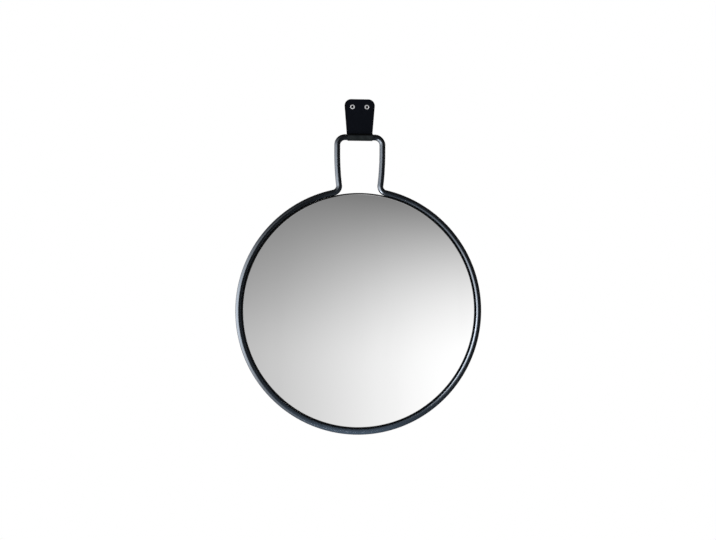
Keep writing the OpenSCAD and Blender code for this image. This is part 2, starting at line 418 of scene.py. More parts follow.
# White foam: small open cells.
def makeFoam():
    material, tree, shader = newMaterial("foamTape")
    wall = ramp(tree, cells(tree, objectCoordinates(tree), 2400), 0.1, 0.6)
    tone = mixColour(tree, wall, *foamLook["tones"])
    normal = bump(tree, wall, *foamLook["relief"])
    feed(tree, shader, {"Base Color": tone, "Roughness": foamLook["rough"], "Normal": normal})
    return material


rubberLook = {
    "tones": ((0.015, 0.015, 0.015), (0.032, 0.031, 0.03)), "rough": (0.6, 0.8), "relief": (0.3, 0.00005),
    "dust": (0.22, 0.21, 0.2), "speckScale": 1800, "dustCover": 0.8,
}


# Moulded rubber: a dull grain with dust in it.
def rubberPatterns(tree, place):
    grainy = noise(tree, place, 1500, 4)
    return grainy, grainy, grainy


silverLook = {
    "tones": ((0.945, 0.945, 0.945), (0.925, 0.925, 0.925)), "rough": (0.0, 0.035), "roughSpan": (0, 1),
    "metal": 1,
}


# The silver seen through the glass: a mirror with the faintest haze where it was wiped.
def silverPatterns(tree, place):
    haze = ramp(tree, noise(tree, oneWay(tree, place, 0.2, 0.9), 14, 5), 0.45, 0.8)
    return haze, haze, None


bevelLook = {"tones": ((0.90, 0.90, 0.90), (0.95, 0.95, 0.95)), "rough": (0.10, 0.16), "metal": 1}


# The bevel: silver behind a finely ground slope, a touch duller than the face.
def bevelPatterns(tree, place):
    streak = noise(tree, place, 30, 3)
    return streak, streak, None


glassEdgeLook = {
    "tones": ((0.09, 0.13, 0.12), (0.16, 0.21, 0.19)), "rough": (0.12, 0.2), "relief": (0.1, 0.00002),
}


# The rim of the glass: polished, and green where the light runs along the sheet.
def glassEdgePatterns(tree, place):
    streak = noise(tree, place, 240, 4)
    return streak, streak, streak


mirrorBackLook = {
    "tones": ((0.20, 0.22, 0.23), (0.27, 0.29, 0.30)), "rough": (0.5, 0.65), "relief": (0.2, 0.00005),
}


# The protective paint on the back of the glass.
def mirrorBackPatterns(tree, place):
    peel = noise(tree, place, 320, 4)
    return peel, peel, peel


# The lighter tone for the loop's lower front is painted light, and the crease tone is painted shade.
leatherLook = {
    "tones": ((0.0075, 0.0115, 0.0230), (0.0135, 0.0185, 0.0330)), "paintedLight": (0.105, 0.125, 0.128),
    "crease": (0.001, 0.001, 0.001), "edgeTone": (0.003, 0.003, 0.003), "rough": (0.5, 0.62),
    "polish": 0.2, "shine": 0.25, "wander": (0.0006, 0.0006, 0.0006), "relief": (0.4, 0.00010),
}


# Black leather: pebbled grain with pores, darker and glossier cut edges, and a darker band along the sides
# of the front run. The loop's lower front gets a lighter tone that is painted light, and a near-black tone
# that is painted shade runs from where the front layer meets the loop to over the loop's top. The strap's
# own values carry these: one for the edges and the band, one for the painted light, and "crease".
def makeLeather():
    material, tree, shader = newMaterial("blackLeather")
    look, place = leatherLook, objectCoordinates(tree)
    edge, paintedLightMask, crease = (pieceValue(tree, label) for label in ("edgeBand", "paintedLightMask", "crease"))
    drift = addNode(tree, "ShaderNodeTexNoise", {"Vector": place, "Scale": 420}).outputs["Color"]
    inputs = {0: drift, 1: look["wander"], 2: place}
    swirl = addNode(tree, "ShaderNodeVectorMath", inputs, operation="MULTIPLY_ADD").outputs["Vector"]
    pores = ramp(tree, noise(tree, place, 2600, 2), 0.58, 0.72)
    wrinkles = ramp(tree, noise(tree, place, 300, 5, 0.6), 0.5, 0.58)
    grain = calc(tree, "MULTIPLY_ADD", pores, -0.3, cells(tree, swirl, 1250, 0.55))
    grain = calc(tree, "MULTIPLY_ADD", wrinkles, -0.25, grain)
    grain = product(tree, grain, calc(tree, "MULTIPLY_ADD", edge, -0.85, 1.0))
    blotch = noise(tree, place, 90, 4)
    # Painted light on the loop's lower front, then painted shade from the crease over the loop's top, then
    # the darker edges.
    paintedLight = product(tree, paintedLightMask, ramp(tree, blotch, 0.2, 0.8, 0.4, 1.0))
    tone = mixColour(tree, blotch, *look["tones"])
    for share, name in ((paintedLight, "paintedLight"), (crease, "crease"), (edge, "edgeTone")):
        tone = mixColour(tree, share, tone, look[name])
    rough = ramp(tree, grain, 0.0, 0.7, *look["rough"], smooth=False)
    rough = calc(tree, "MULTIPLY_ADD", edge, -look["polish"], rough)
    normal = bump(tree, grain, *look["relief"])
    feed(tree, shader, {"Base Color": tone, "Roughness": rough, "Normal": normal,
                        "Specular IOR Level": look["shine"]})
    return material


rodPaint = makePaint("rodPaint", (0.0062, 0.0082, 0.0105), 0.19, 1300, 0.000008)
tabPaint = makePaint("tabPaint", (0.009, 0.010, 0.012), 0.33, 900, 0.00003)
nickel = makeFinish("brightNickel", nickelLook, nickelPatterns)
zinc = makeFinish("zincPlate", zincLook, zincPatterns)
boardPaint = makeFinish("boardPaint", boardLook, boardPatterns)
foam = makeFoam()
bumperRubber = makeFinish("bumperRubber", rubberLook, rubberPatterns)
silver = makeFinish("silverBehindGlass", silverLook, silverPatterns)
bevelSilver = makeFinish("bevelSilver", bevelLook, bevelPatterns)
glassEdge = makeFinish("polishedGlassEdge", glassEdgeLook, glassEdgePatterns)
mirrorBack = makeFinish("mirrorBackPaint", mirrorBackLook, mirrorBackPatterns)
leather = makeLeather()
print("materials made")


# The rod frame

# The tube: each path point + rod radius times (cos a across the path, sin a out from the wall).
def makeRod(size):
    angle = circle(size["sides"])
    swing = rodLine[:, None] + rodR * np.cos(angle)[:, None] * rodAcross[:, None]
    rings = placed(swing[..., 0], rodOut + rodR * np.sin(angle), ringZ + swing[..., 1])
    return closeUp(skin("rod_frame_bent", rings, loop=True), 60)


rod = makeRod(rodFrame)
finishPiece(rod, "mirror", [rodPaint], ["frame_rod"])
print("rod done:", len(rod.data.polygons), "faces")


# Lugs, weld beads and screws at the back

# The lugs' directions round the ring, in degrees from the viewer's right.
lugs = {
    "frame_tab_upper_left": 138, "frame_tab_upper_right": 42,
    "frame_tab_lower_left": 225, "frame_tab_lower_right": -45,
}
weld = {
    "length": 17, "width": 4.2, "height": 0.75, "inset": 1.6, "ripple": 1.5, "depth": 0.09, "wobble": 0.12,
    "taper": 3.5, "sunk": 0.12, "rows": 90, "sides": 28,
}


# A bead laid along the ring: a flat oval whose size tapers at both ends, with ripples as it advances.
def makeWeld(name, direction, seed):
    random = np.random.default_rng(seed)
    share = np.linspace(-1, 1, weld["rows"])
    along = share * weld["length"] / 2
    taper = np.sqrt(np.clip(1 - np.abs(share) ** weld["taper"], 0.0004, 1))
    knots = np.linspace(-9, 9, 13)  # just past the bead's ends
    wobble = np.interp(along, knots, random.normal(0, weld["wobble"], len(knots)))
    ripple = 1 - weld["depth"] * np.abs(np.sin(math.pi * along / weld["ripple"] + wobble * 6))
    angle = circle(weld["sides"])
    wide = (weld["width"] / 2 * taper * (1 + wobble))[:, None] * np.cos(angle)
    high = (weld["height"] * taper * ripple)[:, None] * np.sin(angle)
    r = ringR - weld["inset"]
    turn = (math.radians(direction) + along / r)[:, None]
    out = rodOut - rodR + weld["sunk"] - high
    rings = placed((r + wide) * np.cos(turn), out, ringZ + (r + wide) * np.sin(turn))
    ends = [rings[0].mean(axis=0), rings[-1].mean(axis=0)]
    return closeUp(skin(name, rings, firstPole=ends[0], lastPole=ends[1]), 60)


for seed, (tab, direction) in enumerate(lugs.items()):
    repaint(tab, tabPaint)
    bead = makeWeld(tab.replace("frame_tab", "weld"), direction, seed)
    finishPiece(bead, "mirror", [tabPaint])


screw = {
    "head": 7.5, "headHeight": 1.0, "shank": 3.5, "core": 2.7, "length": 5.5, "pitch": 1.3,
    "reach": 11, "slotLength": 4.2, "slotWidth": 0.975, "slotDepth": 0.65, "slotSoft": 0.22, "crown": 0.12,
    "threadSlope": 2.6, "point": 1.6, "tip": 0.12, "sunk": 0.2, "turns": (14, 51, 78, 33),
}


# A low round head: its height falls as the root of 1 - share^5 towards the rim, less a cross whose walls
# slope in.
def makeScrewHead(centre, backOut, turn):
    r = screw["head"] / 2
    share = np.concatenate([np.linspace(0.03, 0.86, 18), np.linspace(0.9, 1, 8)])
    angle = circle(96)
    across, along = np.outer(share, np.cos(angle)) * r, np.outer(share, np.sin(angle)) * r
    dome = screw["headHeight"] * np.sqrt(np.clip(1 - share ** 5, 0, 1)) * (1 - screw["crown"] * share ** 2)
    armA = np.maximum(np.abs(across) - screw["slotLength"] / 2, np.abs(along) - screw["slotWidth"] / 2)
    armB = np.maximum(np.abs(along) - screw["slotLength"] / 2, np.abs(across) - screw["slotWidth"] / 2)
    inside = np.clip(-np.minimum(armA, armB) / screw["slotSoft"] + 0.5, 0, 1)
    height = dome[:, None] - screw["slotDepth"] * inside * inside * (3 - 2 * inside)
    tilt = math.radians(turn)
    x = centre[0] + across * math.cos(tilt) - along * math.sin(tilt)
    z = centre[1] + across * math.sin(tilt) + along * math.cos(tilt)
    under = backOut + screw["headHeight"]
    rings = np.vstack([placed(x, under - height, z), placed(x[-1:], under, z[-1:])])
    middle = [centre[0], -backOut - screw["slotDepth"], centre[1]]
    return skin("head", rings, firstPole=middle, lastPole=[centre[0], -under, centre[1]])


# The shank: radius runs between core and outside as a triangle wave of depth / pitch - turn.
def makeShank(centre, startOut):
    depth = np.linspace(0, screw["length"], 130)[:, None]
    angle = circle(36)
    phase = (depth / screw["pitch"] - angle / (2 * math.pi)) % 1
    crest = np.clip(1 - screw["threadSlope"] * np.abs(phase - 0.5), 0, 1)
    point = np.clip((screw["length"] - depth) / screw["point"], screw["tip"], 1)
    r = (screw["core"] / 2 + (screw["shank"] - screw["core"]) / 2 * crest) * point
    rings = placed(centre[0] + r * np.cos(angle), startOut + depth, centre[1] + r * np.sin(angle))
    ends = [[centre[0], -out, centre[1]] for out in (startOut, startOut + screw["length"])]
    return skin("shank", rings, firstPole=ends[0], lastPole=ends[1])


def makeScrews():
    tabBack = -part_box("tab_screws")[1].y / mm + screw["headHeight"]
    parts = []
    for direction, turn in zip(lugs.values(), screw["turns"]):
        a = math.radians(direction)
        r = ringR - rodR - screw["reach"]
        centre = (r * math.cos(a), ringZ + r * math.sin(a))
        parts.append(makeScrewHead(centre, tabBack - screw["headHeight"], turn))
        parts.append(makeShank(centre, tabBack - screw["sunk"]))
    return closeUp(joined("tab_screws_crosshead", parts), 35)


finishPiece(makeScrews(), "mirror", [zinc], ["tab_screws"])
print("lugs, welds and screws done")


# The mirror's plates

plateSides = 360  # faces round the rim of the board and of the glass
board = {"edge": 0.5, "rimGap": 0.02}
boardLow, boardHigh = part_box("backing_board")
boardR = ringR - rodR - board["rimGap"]
boardBack, boardFront = -boardHigh.y / mm, -boardLow.y / mm


# Profile (radius, out): flat back, eased edge, rim, eased edge, flat front.
def makeBoard():
    e = board["edge"]
    flat = np.linspace(20, boardR - 2 * e, 6)
    profile = np.vstack([
        [[0, boardBack]], [[r, boardBack] for r in flat],
        roundOff((boardR - e, boardBack + e), e, -90, 0), roundOff((boardR - e, boardFront - e), e, 0, 90),
        [[r, boardFront] for r in flat[::-1]], [[0, boardFront]],
    ])
    return closeUp(turned("backing_board_panel", profile, (0, ringZ), plateSides), 30)


finishPiece(makeBoard(), "mirror", [boardPaint], ["backing_board"])

# The bevel's shape is (share of its width from the flat face, share of its depth), from the rim inwards.
glass = {
    "bevel": 1.0, "backBevel": 0.3, "innerRing": 60,
    "bevelShape": [(1, 1), (0.86, 0.66), (0.6, 0.36), (0.3, 0.12), (0, 0)],
}
glassLow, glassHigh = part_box("mirror_glass")
glassR = (glassHigh.x - glassLow.x) / 2 / mm
glassBack, glassFront = -glassHigh.y / mm, -glassLow.y / mm


# The glass plate: its flat face and bevel are silver seen through glass, its rim is bare glass.
def makeGlass():
    b, k, inner = glass["bevel"], glass["backBevel"], glass["innerRing"]
    ground = [[glassR - b * (1 - share), glassFront - b * drop] for share, drop in glass["bevelShape"]]
    profile = [[0, glassBack], [inner, glassBack], [glassR - k, glassBack], [glassR, glassBack + k], *ground,
               [inner, glassFront], [0, glassFront]]
    plate = closeUp(turned("mirror_plate", profile, (0, ringZ), plateSides), 4)
    for face in plate.data.polygons:
        r = math.hypot(face.center.x / mm, face.center.z / mm - ringZ)
        facing = -face.normal.y
        kind = "face" if r < glassR - b else "bevel"
        kind = kind if facing > 0.3 else ("back" if facing < -0.9 else "rim")
        face.material_index = ["face", "rim", "back", "bevel"].index(kind)
    return plate


mirrorPlate = makeGlass()
finishPiece(mirrorPlate, "mirror", [silver, glassEdge, mirrorBack, bevelSilver], ["mirror_glass"])

for strip in ("outer_left", "inner_left", "inner_right", "outer_right"):
    repaint("tape_strip_" + strip, foam)


bumper = {"rim": 1.2, "hollow": 0.18, "backEdge": 0.15}


# A stick-on bumper: (radius, out) with a rounded rim and a slightly hollow face towards the wall.
def makeBumper(side):
    low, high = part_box("wall_bumper_" + side)
    r = (high.x - low.x) / 2 / mm
    centre = ((high.x + low.x) / 2 / mm, (high.z + low.z) / 2 / mm)
    wallSide, boardSide = -high.y / mm, -low.y / mm
    rim, deep, e = bumper["rim"], bumper["hollow"], bumper["backEdge"]
    face = np.linspace(0.04, r - rim, 14)
    hollow = wallSide + deep * (1 - (face / (r - rim)) ** 2) ** 2
    profile = np.vstack([
        [[0, wallSide + deep]], np.stack([face, hollow], axis=-1),
        roundOff((r - rim, wallSide + rim), rim, -90, 0, 12)[1:],
        [[r, boardSide - e], [r - e, boardSide], [0, boardSide]],
    ])
    return closeUp(turned("bumper_dome_" + side, profile, centre, 72), 35)


for side in ("left", "right"):
    finishPiece(makeBumper(side), "mirror", [bumperRubber], ["wall_bumper_" + side])
print("plates and bumpers done")


# The leather strap

strap = {
    "leather": 1.0, "loopGap": 0.08, "sidePlay": 4.25, "flare": 4.5, "drop": 55.5, "head": 14.2,
    "corner": 12, "crease": 0.3, "edgeRound": 0.45, "pitch": 26.5, "hole": 2.7, "flange": 4.25,
    "layerGap": 0.02, "columns": 56, "press": 0.13, "pressOut": 0.9, "pressSoft": 0.35,
    # How far past the crease the painted shade runs, and where the painted light on the loop fades out
    # above.
    "creaseSoft": 0.8, "shaded": 11.5, "turnSoft": 0.5, "paintedLightTop": 7, "paintedLightFade": 2.5,
    "border": 2.6, "borderDark": 0.8, "punch": (-3, 8), "fineEnd": 14,
}
strapTop = strap["drop"] + strap["head"]
waistHalf = barHalf - strap["sidePlay"]
slope = strap["flare"] / strap["drop"]
lean = math.hypot(1, slope)
cornerR = strap["corner"]
cornerY = strapTop - cornerR
cornerX = waistHalf + slope * cornerY - cornerR * lean


# The middle line from the front end down, round the crossbar and up the back, as (out, up) points, with
# the normals of the grain side and each point's run: 0 the front, 1 the crease, 2 the loop, 3 the back.
def strapLine():
    t = strap["leather"]
    loopR = rodR + strap["loopGap"] + t / 2
    bendR = strap["crease"] + t / 2
    creaseOut = 2 * t + strap["crease"]
    creaseUp = math.sqrt((loopR + bendR) ** 2 - (rodOut - creaseOut) ** 2)
    meet = math.degrees(math.atan2(creaseUp, creaseOut - rodOut))
    # Rows from a cut end on, close together at first.
    end = strap["fineEnd"]
    fine = np.concatenate([np.arange(0, 0.8, 0.07), np.arange(0.8, 2.4, 0.2), np.arange(2.4, end, 0.45)])
    down = np.concatenate([strapTop - fine, np.arange(strapTop - end, creaseUp, -1.0)])
    frontOut = 1.5 * t + strap["layerGap"]
    front = np.stack([np.full_like(down, frontOut), down], axis=-1), np.tile([1.0, 0.0], (len(down), 1))
    bend, bendRadial = arcRun((creaseOut, creaseUp), bendR, 180, meet, 0.12)
    loop, loopRadial = arcRun((rodOut, 0), loopR, meet, -(meet + 180), 0.35)
    up = np.concatenate([np.arange(0, strapTop - end, 1.0), (strapTop - fine)[::-1]])
    back = np.stack([np.full_like(up, t / 2), up], axis=-1), np.tile([-1.0, 0.0], (len(up), 1))
    line = np.vstack([front[0], bend, loop, back[0]])
    normal = np.vstack([front[1], -bendRadial, -loopRadial, back[1]])
    kind = np.repeat([0, 1, 2, 3], [len(down), len(bend), len(loop), len(up)])
    return line, normal, kind


# Half the strap's width at a height: slanted sides up to where the round corner begins, then its arc.
def strapHalf(up):
    arc = cornerX + np.sqrt(np.clip(cornerR ** 2 - (up - cornerY) ** 2, 0, None))
    return np.where(up > cornerY - cornerR * slope / lean, arc, waistHalf + slope * up)


# Distance from a point of the sheet to its cut edge: to the slanted side, the top or the round corner.
def edgeDistance(x, up, ended):
    side = (waistHalf + slope * up - np.abs(x)) / lean
    top = np.where(ended, strapTop - up, np.inf)
    dx, dy = np.abs(x) - cornerX, up - cornerY
    turning = ended & (dx > 0) & (dy > -slope * dx)
    return np.clip(np.where(turning, cornerR - np.hypot(dx, dy), np.minimum(side, top)), 0, None)


# The strap: its sheet is a grid over (length, width), and each side of it stands off the middle line
# by half the leather, drawn in as a quarter round near the cut edges and pressed in round the eyelets.
def makeStrap():
    line, normal, kind = strapLine()
    up = line[:, 1:2]
    edge = np.linspace(0, 1, 9) ** 1.6 * 0.045  # columns crowd towards the cut edges
    across = np.concatenate([-1 + edge, np.linspace(-0.94, 0.94, strap["columns"]), 1 - edge[::-1]])
    ended = ((kind == 0) | (kind == 3))[:, None]
    slanted = waistHalf + slope * up
    x = np.where(ended, strapHalf(up), slanted) * across
    far = edgeDistance(x, up, ended)
    inward = np.clip(1 - far / strap["edgeRound"], 0, 1)
    thick = strap["leather"] / 2 * np.sqrt(1 - inward ** 2)
    holeX = np.abs(np.abs(x) - strap["pitch"] / 2)
    holeR = np.hypot(holeX, up - strap["drop"])
    pressed = (holeR - strap["flange"] - strap["pressOut"]) / strap["pressSoft"]
    press = strap["press"] / (1 + np.exp(pressed))
    grainOff = thick - np.where(kind[:, None] == 0, press, 0)
    sheet = placed(x, line[:, 0:1], barZ + up)
    push = placed(0.0, normal[:, 0], normal[:, 1])[:, None]
    grainSide = sheet + push * grainOff[..., None]
    fleshSide = sheet - push * thick[..., None]
    rings = np.concatenate([grainSide, fleshSide[:, -2:0:-1]], axis=1)
    piece = skin("leather_strap", rings)
    walked = np.concatenate([[0], np.cumsum(np.hypot(*np.diff(line, axis=0).T))])[:, None]
    # Masks for the painted shade from the crease over the loop's top and the painted light on the loop's
    # lower front.
    past = walked - walked[kind == 1].mean()
    starts = (-strap["creaseSoft"], strap["shaded"])
    inCrease, onLoop = (1 / (1 + np.exp((at - past) / strap["turnSoft"])) for at in starts)
    paintedLightMask = onLoop * np.exp(-np.clip(up - strap["paintedLightTop"], 0, None) / strap["paintedLightFade"])
    crease = inCrease * (1 - onLoop)
    # A darker band along the sides of the front run, joined with the darker cut edges.
    side = slanted * (1 - np.abs(across))
    border = np.exp(-(side / strap["border"]) ** 2)
    edgeBand = np.maximum(inward, np.where(kind[:, None] == 0, strap["borderDark"] * border, 0))
    for label, value in (("edgeBand", edgeBand), ("paintedLightMask", paintedLightMask), ("crease", crease)):
        value = np.broadcast_to(value, x.shape)
        both = np.concatenate([value, value[:, -2:0:-1]], axis=1)
        attribute = piece.data.attributes.new(label, "FLOAT", "POINT")
        attribute.data.foreach_set("value", both.astype(np.float32).ravel())
    return closeUp(piece, 50)


# Punches the two eyelet holes with a round cutter, which is then removed.
def punchHoles(piece):
    r, (back, front) = strap["hole"], strap["punch"]
    outline = [[0, back], [r, back], [r, front], [0, front]]
    cutters = [turned("cutter", outline, (s * strap["pitch"] / 2, 0), 64) for s in (-1, 1)]
    cutter = closeUp(joined("cutter", cutters), 30)
    punch = piece.modifiers.new("punch", "BOOLEAN")
    punch.operation = "DIFFERENCE"
    punch.solver = "EXACT"
    punch.object = cutter
    graph = bpy.context.evaluated_depsgraph_get()
    punched = bpy.data.meshes.new_from_object(piece.evaluated_get(graph))
    piece.modifiers.clear()
    piece.data = punched
    bpy.data.objects.remove(cutter)
    smooth(piece, 50)


leatherStrap = makeStrap()
punchHoles(leatherStrap)
finishPiece(leatherStrap, "hanger", [leather], ["hanging_strap"])
print("strap done:", len(leatherStrap.data.polygons), "faces")


# Eyelets and their washers

eyelet = {
    "bore": 2.25, "wall": 0.4, "flange": 4.25, "rise": 0.7, "squareness": 2.2, "lip": 3.6, "lipOut": 0.06,
    "lipRise": 0.34, "lipTop": 0.5, "under": 0.1, "hem": 0.25, "throat": 0.6,
    "washerGap": 0.05, "washerEdge": 0.1,
}


# An eyelet of thin sheet: a flange rolled as half a superellipse in front, a straight barrel, and a lip
# rolled out as half an ellipse behind.
def makeEyelet(side, sign):
    front = -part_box("eyelet_" + side)[0].y / mm
    seat = front - eyelet["rise"]
    b, w, f = eyelet["bore"], eyelet["wall"], eyelet["flange"]
    crown = (b + f) / 2
    k = 2 / eyelet["squareness"]
    turn = np.radians(np.linspace(0, 180, 33))
    reach = (f - crown) * np.sign(np.cos(turn)) * np.abs(np.cos(turn)) ** k
    dome = np.stack([crown + reach, seat + eyelet["rise"] * np.sin(turn) ** k], axis=-1)
    lipR, lipHigh = (eyelet["lip"] - b) / 2, eyelet["lipRise"]
    a = np.radians(np.linspace(0, 180, 15))
    roll = np.stack([b + lipR * (1 - np.cos(a)), eyelet["lipOut"] + lipHigh * (1 - np.sin(a))], axis=-1)
    under = seat - eyelet["under"]
    inside = [[b + w, eyelet["lipOut"] + eyelet["lipTop"]], [b + w, under], [f - eyelet["hem"], under]]
    profile = np.vstack([dome, [[b, seat - eyelet["throat"]]], roll, inside])
    return closeUp(turned("eyelet_rolled_" + side, profile, (sign * strap["pitch"] / 2, 0), 96), 50)


# A flat washer with eased rims, sunk in the leather behind an eyelet.
def makeWasher(side, sign):
    low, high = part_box("eyelet_washer_" + side)
    inner, outer = eyelet["bore"] + eyelet["wall"] + eyelet["washerGap"], (high.x - low.x) / 2 / mm
    e = eyelet["washerEdge"]
    back, front = -high.y / mm, -low.y / mm
    corners = [(outer - e, back + e), (outer - e, front - e), (inner + e, front - e), (inner + e, back + e)]
    profile = np.vstack([roundOff(at, e, 90 * i - 90, 90 * i, 4) for i, at in enumerate(corners)])
    return closeUp(turned("washer_eased_" + side, profile, (sign * strap["pitch"] / 2, 0), 72), 50)


eyelets = []
for side, sign in (("left", -1), ("right", 1)):
    eyelets.append(finishPiece(makeEyelet(side, sign), "hanger", [nickel], ["eyelet_" + side]))
    finishPiece(makeWasher(side, sign), "hanger", [nickel], ["eyelet_washer_" + side])
print("eyelets done")


# Camera, lights and surroundings

shot = {
    "azimuth": -7.2, "distance": 3200, "mmPerPixel": 1.8155, "roll": 0.22, "ringPixel": (359.45, 310.8),
    "imageSize": (716, 540), "sensor": 36,
}


# The camera looks level at the middle of the image, whose place follows from the ring's centre pixel.
def makeCamera():
    wide, high = shot["imageSize"]
    up = ringZ + (shot["ringPixel"][1] - high / 2) * shot["mmPerPixel"]
    a = math.radians(shot["azimuth"])
    back = Vector((math.sin(a), -math.cos(a), 0))
    across = Vector((math.cos(a), math.sin(a), 0))
    side = -(shot["ringPixel"][0] - wide / 2) * shot["mmPerPixel"]
    target = (Vector((0, -rodOut, up)) + across * side) * mm
    camera = newObject("camera", bpy.data.cameras.new("camera"))
    camera.data.sensor_width = shot["sensor"]
    camera.data.lens = shot["sensor"] * shot["distance"] / (wide * shot["mmPerPixel"])
    camera.data.clip_end = 100
    turn = (-back).to_track_quat("-Z", "Y").to_matrix().to_4x4()
    roll = Matrix.Rotation(math.radians(shot["roll"]), 4, "Z")
    camera.matrix_world = Matrix.Translation(target + back * shot["distance"] * mm) @ turn @ roll
    bpy.context.scene.camera = camera
    return camera


camera = makeCamera()


# Lights only the pieces given, as screens and flags do in a studio.
def lightOnly(source, pieces):
    group = bpy.data.collections.new(source.name + "Receivers")
    for piece in pieces:
        group.objects.link(piece)
    source.light_linking.receiver_collection = group


def lightAllBut(source, pieces):
    lightOnly(source, pieces)
    for entry in source.light_linking.receiver_collection.collection_objects:
        entry.light_linking.link_state = "EXCLUDE"


# A sheet of light that is clear to look through: it adds its glow to what lies behind it.
def glowSheet(name, points, strengthOf, receivers, tint=(1, 1, 1)):
    rows, columns = points.shape[:2]
    index = np.arange(rows * columns).reshape(rows, columns)
    quads = np.stack([index[:-1, :-1], index[:-1, 1:], index[1:, 1:], index[1:, :-1]], axis=-1)
    sheet = meshObject(name, points.reshape(-1, 3), quads.reshape(-1, 4).tolist())
    material = bpy.data.materials.new(name)
    material.use_nodes = True
    tree = material.node_tree
    tree.nodes.clear()
    split = addNode(tree, "ShaderNodeSeparateXYZ", {"Vector": objectCoordinates(tree)})
    strength = strengthOf(tree, *split.outputs)
    light = addNode(tree, "ShaderNodeEmission", {"Color": tint, "Strength": strength})
    clear = addNode(tree, "ShaderNodeBsdfTransparent")
    both = addNode(tree, "ShaderNodeAddShader", {0: clear.outputs["BSDF"], 1: light.outputs["Emission"]})
    addNode(tree, "ShaderNodeOutputMaterial", {"Surface": both.outputs["Shader"]})
    sheet.data.materials.append(material)
    sheet.visible_camera = False
    sheet.visible_shadow = False
    sheet.visible_diffuse = False
    lightOnly(sheet, receivers)


# Part of a ball round the ring's centre: r (-sin a cos e, -cos a cos e, sin e), where a turns from straight
# ahead to the viewer's left and e goes up.
def domePoints(r, azimuths):
    a, e = np.meshgrid(np.radians(np.linspace(*azimuths, 61)), np.radians(np.linspace(-85, 85, 37)))
    return r * placed(-np.sin(a) * np.cos(e), np.cos(a) * np.cos(e), np.sin(e)) + np.array([0, 0, ringZ])


# (value - middle) / unit, with the last two in millimetres.
def measured(tree, value, middle, unit):
    return calc(tree, "DIVIDE", calc(tree, "SUBTRACT", value, middle * mm), unit * mm)


# What the mirror sees. Over (u, v), in mirror radii from the middle of what the camera sees reflected, its
# tone is base + side u - bow u u - fall v - curve v v, less twist u v v in the upper half. Further out it
# turns into a soft room, pale below and darker above, with slow clouds.
sky = {
    "radius": 3100, "base": 0.835, "side": 0.167, "bow": 0.03, "fall": 0.229, "curve": 0.128, "twist": 0.20,
    "darkest": 0.3, "power": 2.2, "sideLimit": 1.2, "lowLimit": -0.4, "silverLoss": 0.935,
    "roomSpan": (1.3, 3.4), "roomTones": (0.80, 0.60), "cloud": 1.1, "cloudDepth": 0.3,
    "lowSoft": 0.3, "darkSoft": 0.15, "roomReach": 0.7,
}


def skyGlow(tree, x, y, z):
    eye = camera.location / mm
    share = sky["radius"] / shot["distance"]
    reach = glassR * (1 + share)
    footX, footZ = -eye.x * share, ringZ + (ringZ - eye.z) * share
    u, v = measured(tree, x, footX, reach), measured(tree, z, footZ, reach)
    far = calc(tree, "SQRT", calc(tree, "ADD", product(tree, u, u), product(tree, v, v)))
    limit = sky["sideLimit"]
    u = product(tree, calc(tree, "TANH", calc(tree, "DIVIDE", u, limit)), limit)
    v = calc(tree, "SMOOTH_MAX", v, sky["lowLimit"], sky["lowSoft"])
    upper = calc(tree, "MAXIMUM", v, 0.0)
    tone = calc(tree, "MULTIPLY_ADD", u, sky["side"], sky["base"])
    bow, curve, twist = product(tree, u, u), product(tree, v, v), product(tree, u, upper, upper)
    for shape, name in ((bow, "bow"), (v, "fall"), (curve, "curve"), (twist, "twist")):
        tone = calc(tree, "MULTIPLY_ADD", shape, -sky[name], tone)
    tone = calc(tree, "SMOOTH_MAX", tone, sky["darkest"], sky["darkSoft"])
    reachUp = sky["roomReach"] * sky["radius"]
    room = ramp(tree, z, (ringZ - reachUp) * mm, (ringZ + reachUp) * mm, *sky["roomTones"])
    cloud = ramp(tree, noise(tree, objectCoordinates(tree), sky["cloud"], 1), 0.3, 0.7, -0.5, 0.5)
    room = calc(tree, "MULTIPLY_ADD", cloud, sky["cloudDepth"], room)
    outside = ramp(tree, far, *sky["roomSpan"])
    tone = calc(tree, "MULTIPLY_ADD", outside, calc(tree, "SUBTRACT", room, tone), tone)
    seen = calc(tree, "DIVIDE", calc(tree, "POWER", tone, sky["power"]), sky["silverLoss"])
    return calc(tree, "SUBTRACT", seen, studio["around"])


# What the rod sees: a wide soft source on the left, and a nearer one that fades above and below.
softLeft = {
    "radius": 3000, "wide": 2.9, "edge": (5, 32), "end": (105, 145), "behind": 0.1, "above": (5, 75),
    "tint": (0.90, 1.0, 1.13),
}
nearLeft = {
    "x": -600, "front": -2700, "back": 260, "half": 1000, "level": 8.6, "middle": -60, "spread": 235,
    "frontFade": 1700, "backFade": 300,
    "lobe": 4.5, "lobeUp": 290, "lobeFront": -1600, "lobeTall": 170, "lobeWide": 300,
}


# Level times a soft front edge, a slow end behind, 1 - (sin e)^4 and a soft fade above.
def softLeftGlow(tree, x, y, z):
    s = softLeft
    up = measured(tree, z, ringZ, s["radius"])
    azimuth = calc(tree, "ARCTAN2", product(tree, x, -1.0), product(tree, y, -1.0))
    edge = ramp(tree, azimuth, *np.radians(s["edge"]))
    end = ramp(tree, azimuth, *np.radians(s["end"]), 1, s["behind"])
    low = calc(tree, "SUBTRACT", 1.0, calc(tree, "POWER", calc(tree, "ABSOLUTE", up), 4.0))
    high = ramp(tree, up, *np.sin(np.radians(s["above"])), 1, 0)
    return product(tree, edge, end, low, high, s["wide"])


# e to the power of minus half the square of (value - middle) / spread.
def bell(tree, value, middle, spread):
    off = measured(tree, value, middle, spread)
    return calc(tree, "EXPONENT", product(tree, off, off, -0.5))


